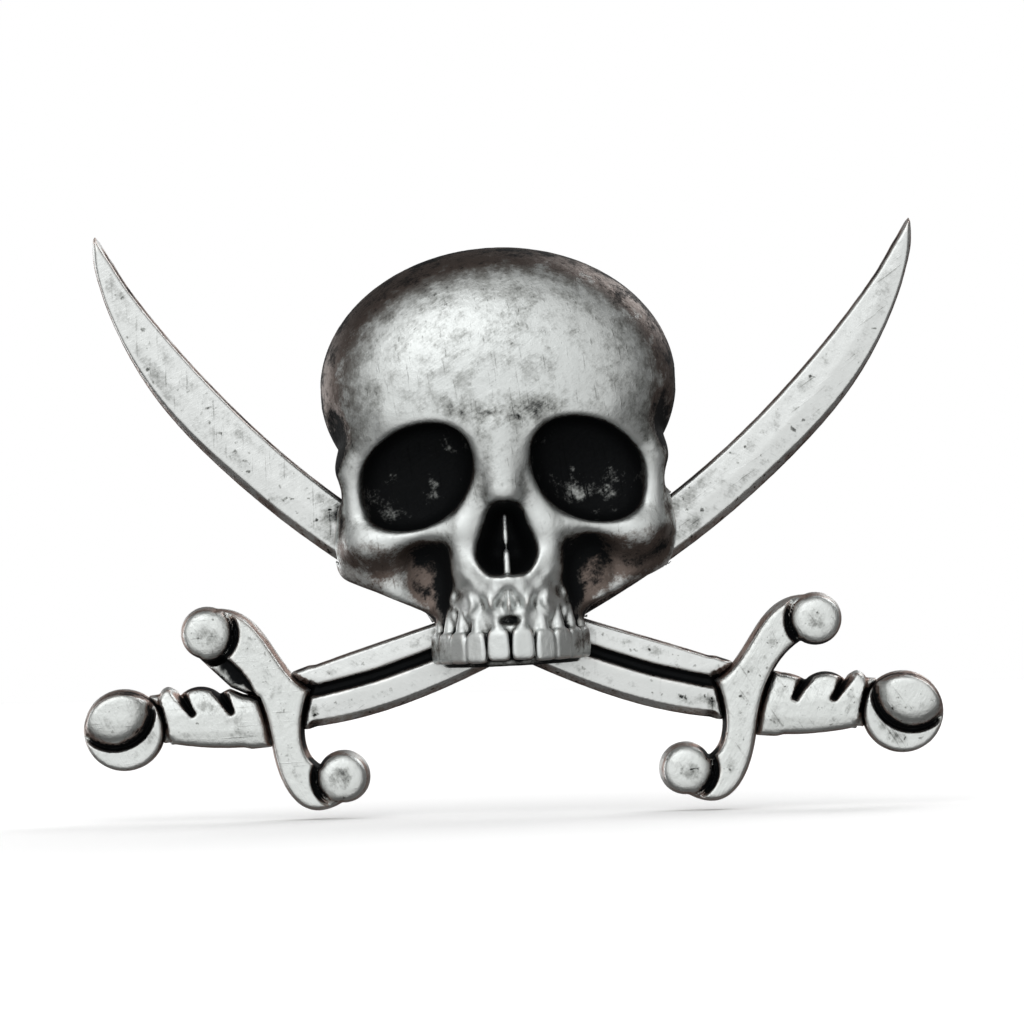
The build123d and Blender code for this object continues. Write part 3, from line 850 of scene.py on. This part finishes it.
def knobs(x, u):
    """Ridges over the tooth roots, broken up into lumps about a millimetre long."""
    roots = np.sin(4.5 * x + 0.9 * np.sin(2.1 * u)) * np.clip((-7.6 - u) / 1.2, 0, 1)
    lumps = np.sin(2.6 * u + 1.4 * np.sin(2.2 * x)) * np.sin(2.9 * x + 0.8)
    return roots + 0.8 * lumps + 0.5 * np.sin(5.9 * x + 1.0) * np.sin(4.7 * u)


TEETH = ((0.78, 0.74), (2.22, 0.64), (3.3, 0.54), (4.12, 0.42), (4.72, 0.32))   # centre, half width


def teeth(x, u, d):
    """Five teeth of one side round the front of the upper jaw, with short root ridges."""
    row = 1e3
    for number, (centre, half) in enumerate(TEETH):
        front = PLATE_FRONT + JAW_DEPTH * math.sqrt(1 - (centre / TOOTH_ROW_HALF) ** 2)
        turn = math.atan2(centre * JAW_DEPTH ** 2, (front - PLATE_FRONT) * TOOTH_ROW_HALF ** 2)
        lean = x - centre
        across = lean * math.cos(turn) - (d - front) * math.sin(turn)
        out = lean * math.sin(turn) + (d - front) * math.cos(turn)
        wide = half / max(math.cos(turn), 0.45)
        middle = -12.3 - (0.12 if number else 0)
        narrowing = 1 - 0.12 * np.clip((u - middle) / 1.0, 0, 1)
        body = (np.abs(across / (wide * narrowing)) ** 5 + np.abs((u - middle) / 1.02) ** 5) ** 0.2
        crown = soft_max((body - 1) * wide, np.abs(out + 0.2) - 0.48, 0.3)
        root = rod(across, u, out, (0, -11.1, -0.3), (0, -10.1, -0.45), 0.4, 0.3)
        row = np.minimum(row, soft_min(crown, root, 0.3))
    return row


LEAN = math.radians(1.5)        # the crown leans to the left about the jaw's edge
JAW_EDGE = -13.9


def leaned(points, angle=LEAN):
    """Points turned with the skull in the plane of the badge."""
    turned = points.copy()
    x, up = points[..., 0], points[..., 1] - JAW_EDGE
    turned[..., 0] = x * math.cos(angle) - up * math.sin(angle)
    turned[..., 1] = x * math.sin(angle) + up * math.cos(angle) + JAW_EDGE
    return turned


def blade_channels(xs, us):
    """Distance outside the two blades over a grid, from their own outlines."""
    rims = []
    for node in "blade_left", "blade_right":
        segments, outwards = outline(node)
        rims.append(flat_distance(leaned(segments, -LEAN), outwards, xs, us)[0])
    return np.minimum(*rims)


def skull_patina_and_shade(points):
    """Patina that fills the eye sockets, the nose and the hollows beside the jaw, and painted shade on the
    crown's rim, the brow and the cheeks, deeper towards the right.
    """
    x, u, d = np.abs(points[:, 0]), points[:, 1], points[:, 2]

    def spot(centre, radii, top, strength):
        near = np.hypot((x - centre[0]) / radii[0], (u - centre[1]) / radii[1])
        return strength * np.clip(2.4 - 2 * near, 0, 1) * np.clip((top - d) / 0.7, 0, 1)

    # painted shade deepens towards the right, the side away from the light
    right = np.clip(points[:, 0] / 3, 0, 1)
    patchy = 0.8 + 0.45 * value_noise(points, 1.3, 4) + 0.25 * value_noise(points, 0.5, 9)
    streak = 0.5 + 0.5 * value_noise(points * np.array([0.35, 1.6, 0.6]), 1.0, 11)
    worn = 1.2 - 0.95 * streak * np.clip(1.1 - np.abs(u + 2.7) / 2.0, 0, 1)
    dirt = spot((5.6, -1.25), (3.5, 3.3), 6.4, 1.0) * worn
    dirt = np.maximum(dirt, spot((0, -5.5), (2.0, 2.6), 7.0, 1.1))
    dirt = np.maximum(dirt, spot((4.9, -8.0), (1.7, 2.6), 5.6, 0.8))
    dirt = np.maximum(dirt, spot((11.4, 1.2), (1.9, 3.2), 5.4, 0.6) * np.clip((d - 1.8) / 1.2, 0, 1))
    below = 0.6 * np.clip((-13.35 - u) / 0.2, 0, 1)
    side = 0.7 * np.clip((x - 4.9) / 0.3, 0, 1) * np.clip((-9.9 - u) / 0.4, 0, 1)
    dirt = np.maximum(np.maximum(dirt, below), side)
    # painted shade on the crown's rim, the brow and the cheeks, tinted brown on the rim's upper part and on
    # the cheeks
    rim = np.clip((crown_reach(x, u) - 0.74 - 0.04 * right) / 0.22, 0, 1)
    rim = rim * np.clip((u + 1.5) / 2.5, 0, 1)
    brow_shade = np.clip(1 - np.abs(u - 2.75 + 0.05 * (x - 2) ** 2) / 1.3, 0, 1) * np.clip((7.5 - x) / 3, 0, 1)
    brow_shade = brow_shade * (0.40 + 0.30 * right) * (0.8 + 0.2 * patchy)
    cheek_shade = np.clip((-4.9 - u) / 0.7, 0, 1) * np.clip((x - 4.0) / 0.8, 0, 1)
    cheek_shade = cheek_shade * np.clip((u + 11.5) / 0.8, 0, 1)
    bone = np.clip((6.5 - d) / 0.7, 0, 1)
    dirt = np.maximum(dirt, 0.52 * rim * (0.8 + 0.2 * patchy))
    dirt = np.maximum(dirt, np.maximum(brow_shade, (0.45 + 0.35 * right) * cheek_shade * bone * patchy))
    jaw = np.clip((4.6 - x) / 0.5, 0, 1) * np.clip((-7.4 - u) / 0.8, 0, 1) * np.clip((u + 13.2) / 0.4, 0, 1)
    dirt = dirt - 0.6 * jaw * np.clip((d - 5.5) / 0.8, 0, 1)
    # the brown layer tints the painted shade on the rim's upper part and the cheeks
    return {"dirt": dirt, "brown": np.clip(rim * np.clip((u - 0.5) / 3, 0, 1) + cheek_shade * bone, 0, 1)}


SKULL_PITCH = 0.11
SKULL_GRAIN = 0.03          # mm
CHANNEL_GAP = 0.05          # clearance round the blades where they pass through the skull


def build_skull():
    pitch = SKULL_PITCH
    low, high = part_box("skull")
    half = np.arange(0, int(high[0] / MM / pitch) + 5) * pitch
    us = grid_axis(low[2] / MM, high[2] / MM, pitch)
    ds = grid_axis(PLATE_FRONT, -low[1] / MM, pitch)
    x, u, d = np.meshgrid(half, us, ds, indexing="ij", sparse=True)
    side = skull_field(x, u, d).astype(np.float32)
    field = np.concatenate([side[:0:-1], side])
    xs = np.concatenate([-half[:0:-1], half])
    channel = blade_channels(xs, us)[:, :, None] - CHANNEL_GAP
    blade_front = -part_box("blade_left")[0][1] / MM
    depth = ds[None, None, :]
    slot = soft_max(channel, depth - blade_front - CHANNEL_GAP, 0.02)
    field = carve(field, slot.astype(np.float32), 0.04)
    field = soft_max(field, PLATE_FRONT - depth, 0.05).astype(np.float32)
    piece = cast_mesh("skull_cast", field, xs, us, ds, pitch, SKULL_GRAIN, skull_patina_and_shade, leaned)
    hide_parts("skull")
    finish(piece, "badge", antique("antique_skull", SKULL_SILVER, 35, UMBER, 0.22, 1.3))


# ---------------------------------------------------------------- back and clutches

def dress(node, material):
    """Give a node its material."""
    item = bpy.data.objects[frame_object(node)]
    item.data.materials.clear()
    item.data.materials.append(material)


def build_back():
    dress("back_plate", plated("plate_nickel", (0.42, 0.42, 0.41), 2500, 0.42, 20, 0.5))
    steel = plated("post_steel", (0.72, 0.72, 0.70), 5000, 0.25)
    for node in "rivets", "post_left", "post_right":
        dress(node, steel)
    pressed = plated("clutch_nickel", (0.80, 0.78, 0.72), 3500, 0.24, 0, 0.3)
    spring = plated("wing_nickel", (0.78, 0.76, 0.71), 6000, 0.22, 90, 0.25)
    for side in "left", "right":
        for part in "disc", "housing":
            dress(f"clutch_{side}_{part}", pressed)
        for part in "upper", "lower":
            dress(f"clutch_{side}_wing_{part}", spring)


camera()
studio()
build_swords()
build_skull()
build_back()
